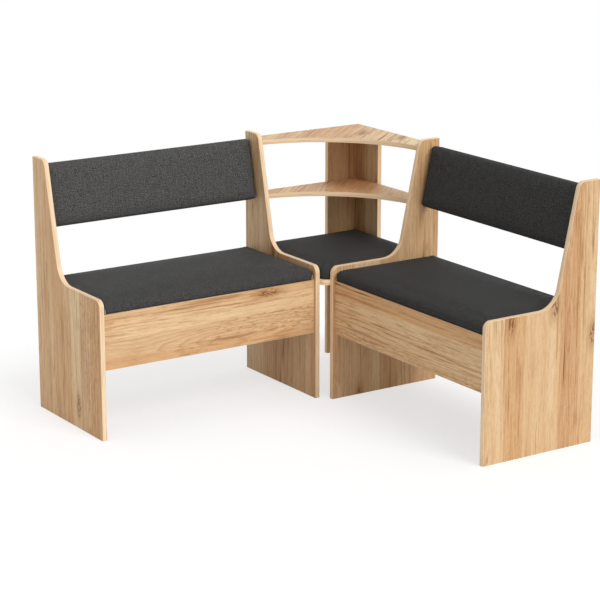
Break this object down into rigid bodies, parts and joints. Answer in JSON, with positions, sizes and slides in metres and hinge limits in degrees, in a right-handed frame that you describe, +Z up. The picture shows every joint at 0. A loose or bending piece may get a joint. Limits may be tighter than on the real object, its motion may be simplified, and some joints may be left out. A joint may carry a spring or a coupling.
{
  "type": "corner storage bench",
  "caption": "Corner seating bench in wood board, with padded seats that lift over storage boxes, leaning padded backrests and curved corner shelves.",
  "frame": {"origin": "on the floor, under the middle of the bench's outer square", "axes": "+Z up; the back of the left bench and its wall at +Y, the back of the right bench and its wall at +X, the room corner at +X +Y"},
  "size_m": [1.29, 1.29, 0.85],
  "materials": {
    "oak_board": "satin oak grain on board",
    "edge_band": "satin, lighter oak colour",
    "upholstery": "plain weave, matte",
    "raw_board": "raw particle board",
    "hardboard": "smooth hardboard",
    "softwood": "planed",
    "beech": "fluted dowel",
    "felt": "soft buffer",
    "hinge_steel": "zinc plated",
    "zinc_steel": "zinc plated",
    "cam_zinc": "die cast"
  },
  "bodies": {
    "root": {"corner_cleat_screws": "zinc_steel", "corner_column_edge_bands": "edge_band", "corner_column_left_board": "oak_board", "corner_column_right_board": "oak_board", "corner_dowels": "beech", "corner_middle_shelf": "oak_board", "corner_seat_board": "oak_board", "corner_seat_cleats": "softwood", "corner_seat_edge_band": "edge_band", "corner_seat_pad": "upholstery", "corner_shelf_edge_bands": "edge_band", "corner_top_shelf": "oak_board", "left_apron": "oak_board", "left_apron_edge_bands": "edge_band", "left_backrest_board": "raw_board", "left_backrest_pad": "upholstery", "left_box_floor": "hardboard", "left_box_long_cleats": "softwood", "left_box_rear_board": "oak_board", "left_box_side_cleats": "softwood", "left_cam_bolts": "zinc_steel", "left_cam_discs": "cam_zinc", "left_cleat_screws": "zinc_steel", "left_dowels": "beech", "left_hinge_fixed_leaves": "hinge_steel", "left_hinge_pins": "hinge_steel", "left_hinge_rear_screws": "zinc_steel", "left_inner_panel_edge_band": "edge_band", "left_inner_side_panel": "oak_board", "left_lid_buffers": "felt", "left_outer_panel_edge_band": "edge_band", "left_outer_side_panel": "oak_board", "right_apron": "oak_board", "right_apron_edge_bands": "edge_band", "right_backrest_board": "raw_board", "right_backrest_pad": "upholstery", "right_box_floor": "hardboard", "right_box_long_cleats": "softwood", "right_box_rear_board": "oak_board", "right_box_side_cleats": "softwood", "right_cam_bolts": "zinc_steel", "right_cam_discs": "cam_zinc", "right_cleat_screws": "zinc_steel", "right_dowels": "beech", "right_hinge_fixed_leaves": "hinge_steel", "right_hinge_pins": "hinge_steel", "right_hinge_rear_screws": "zinc_steel", "right_inner_panel_edge_band": "edge_band", "right_inner_side_panel": "oak_board", "right_lid_buffers": "felt", "right_outer_panel_edge_band": "edge_band", "right_outer_side_panel": "oak_board"},
    "left_lid": {"left_seat_board": "raw_board", "left_seat_pad": "upholstery", "left_hinge_moving_leaves": "hinge_steel", "left_hinge_lid_screws": "zinc_steel"},
    "right_lid": {"right_seat_board": "raw_board", "right_seat_pad": "upholstery", "right_hinge_moving_leaves": "hinge_steel", "right_hinge_lid_screws": "zinc_steel"}
  },
  "joints": [
    {"name": "left_lid_hinge", "type": "hinge", "parent": "root", "child": "left_lid", "pos_m": [-0.23, 0.62625, 0.437], "axis": [-1, 0, 0], "range_deg": [0, 62]},
    {"name": "right_lid_hinge", "type": "hinge", "parent": "root", "child": "right_lid", "pos_m": [0.62625, -0.23, 0.437], "axis": [0, 1, 0], "range_deg": [0, 62]}
  ]
}
